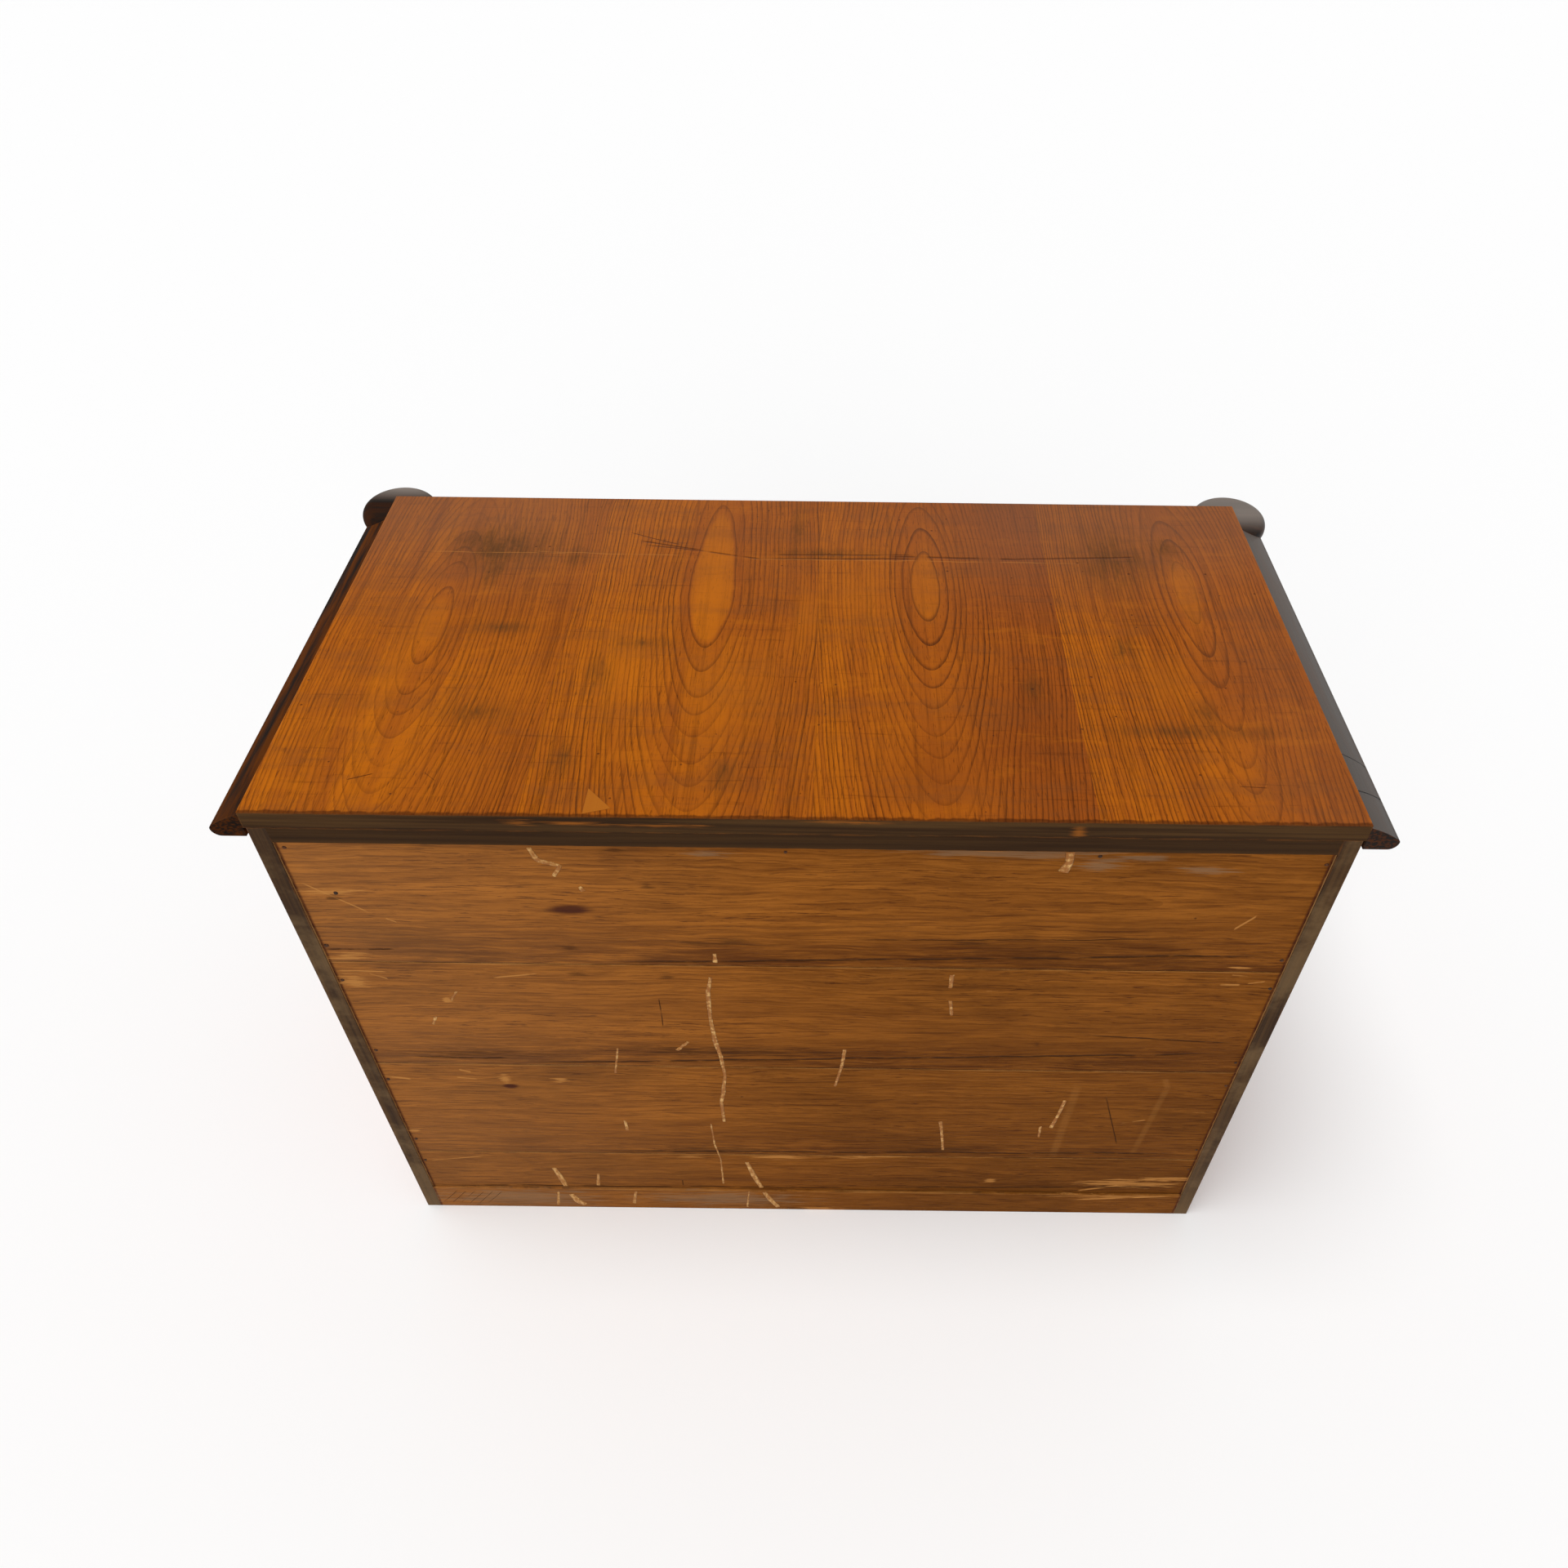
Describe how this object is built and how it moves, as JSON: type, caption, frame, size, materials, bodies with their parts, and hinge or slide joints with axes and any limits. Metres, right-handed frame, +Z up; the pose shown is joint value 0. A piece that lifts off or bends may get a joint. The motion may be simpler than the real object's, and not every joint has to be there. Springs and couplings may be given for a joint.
{
  "type": "chest of drawers",
  "caption": "Free-standing chest of sliding drawers with a walnut-veneered top, ebonised moulding with round corner ears, turned corner columns, a boarded back and working locks.",
  "frame": {"origin": "on the floor, in the middle of the chest's footprint box", "axes": "+X along the width, the drawers open towards -Y, the boarded back faces +Y, +Z up"},
  "size_m": [1.21, 0.631, 0.826],
  "materials": {
    "walnut_veneer": "old shellac, satin gloss",
    "walnut": "veneer under old shellac",
    "ebonised_wood": "black-stained, polished",
    "back_pine": "bare, aged and dirty",
    "stained_pine": "dark stain, worn",
    "case_pine": "aged pine",
    "drawer_pine": "bare, planed",
    "lock_steel": "dull, aged",
    "brass": "aged",
    "key_iron": "worn smooth"
  },
  "bodies": {
    "case": {"left_side": "case_pine", "right_side": "case_pine", "top_board": "stained_pine", "top_veneer": "walnut_veneer", "top_back_rail": "stained_pine", "base_back_rail": "back_pine", "back_board_1": "back_pine", "back_board_2": "back_pine", "back_board_3": "back_pine", "back_board_4": "back_pine", "top_front_rail": "walnut", "upper_divider": "walnut", "lower_divider": "walnut", "base_front_rail": "walnut", "bottom_board": "case_pine", "left_post": "walnut", "right_post": "walnut", "left_column": "ebonised_wood", "right_column": "ebonised_wood", "left_ear": "ebonised_wood", "right_ear": "ebonised_wood", "left_top_moulding": "ebonised_wood", "right_top_moulding": "ebonised_wood", "front_top_moulding": "ebonised_wood", "plinth_front": "ebonised_wood", "left_plinth_block": "ebonised_wood", "right_plinth_block": "ebonised_wood", "drawer_1_runners": "case_pine", "drawer_2_runners": "case_pine", "drawer_3_runners": "case_pine", "drawer_kickers": "case_pine", "drawer_stops": "case_pine"},
    "drawer_1": {"drawer_1_front": "walnut", "drawer_1_left_side": "drawer_pine", "drawer_1_right_side": "drawer_pine", "drawer_1_back": "drawer_pine", "drawer_1_bottom": "drawer_pine", "drawer_1_knobs": "ebonised_wood", "drawer_1_escutcheon": "brass", "drawer_1_lock_case": "lock_steel"},
    "drawer_2": {"drawer_2_front": "walnut", "drawer_2_left_side": "drawer_pine", "drawer_2_right_side": "drawer_pine", "drawer_2_back": "drawer_pine", "drawer_2_bottom": "drawer_pine", "drawer_2_knobs": "ebonised_wood", "drawer_2_escutcheon": "brass", "drawer_2_lock_case": "lock_steel"},
    "drawer_3": {"drawer_3_front": "walnut", "drawer_3_left_side": "drawer_pine", "drawer_3_right_side": "drawer_pine", "drawer_3_back": "drawer_pine", "drawer_3_bottom": "drawer_pine", "drawer_3_knobs": "ebonised_wood", "drawer_3_escutcheon": "brass", "drawer_3_lock_case": "lock_steel"},
    "bolt_1": {"drawer_1_lock_bolt": "lock_steel"},
    "bolt_2": {"drawer_2_lock_bolt": "lock_steel"},
    "bolt_3": {"drawer_3_lock_bolt": "lock_steel"},
    "key": {"drawer_key": "key_iron"}
  },
  "joints": [
    {"name": "drawer_1_slide", "type": "slide", "parent": "case", "child": "drawer_1", "axis": [0, -1, 0], "range_m": [0, 0.4]},
    {"name": "drawer_2_slide", "type": "slide", "parent": "case", "child": "drawer_2", "axis": [0, -1, 0], "range_m": [0, 0.4]},
    {"name": "drawer_3_slide", "type": "slide", "parent": "case", "child": "drawer_3", "axis": [0, -1, 0], "range_m": [0, 0.4]},
    {"name": "bolt_1_throw", "type": "slide", "parent": "drawer_1", "child": "bolt_1", "axis": [0, 0, 1], "range_m": [0, 0.009]},
    {"name": "bolt_2_throw", "type": "slide", "parent": "drawer_2", "child": "bolt_2", "axis": [0, 0, 1], "range_m": [0, 0.009]},
    {"name": "bolt_3_throw", "type": "slide", "parent": "drawer_3", "child": "bolt_3", "axis": [0, 0, 1], "range_m": [0, 0.009]},
    {"name": "key_turn", "type": "hinge", "parent": "drawer_1", "child": "key", "pos_m": [0, -0.2735, 0.7485], "axis": [0, -1, 0], "range_deg": [0, 180]}
  ],
  "couplings": [
    {"joint": "key_turn", "follows": "bolt_1_throw", "rad_per_m": 349.06}
  ]
}
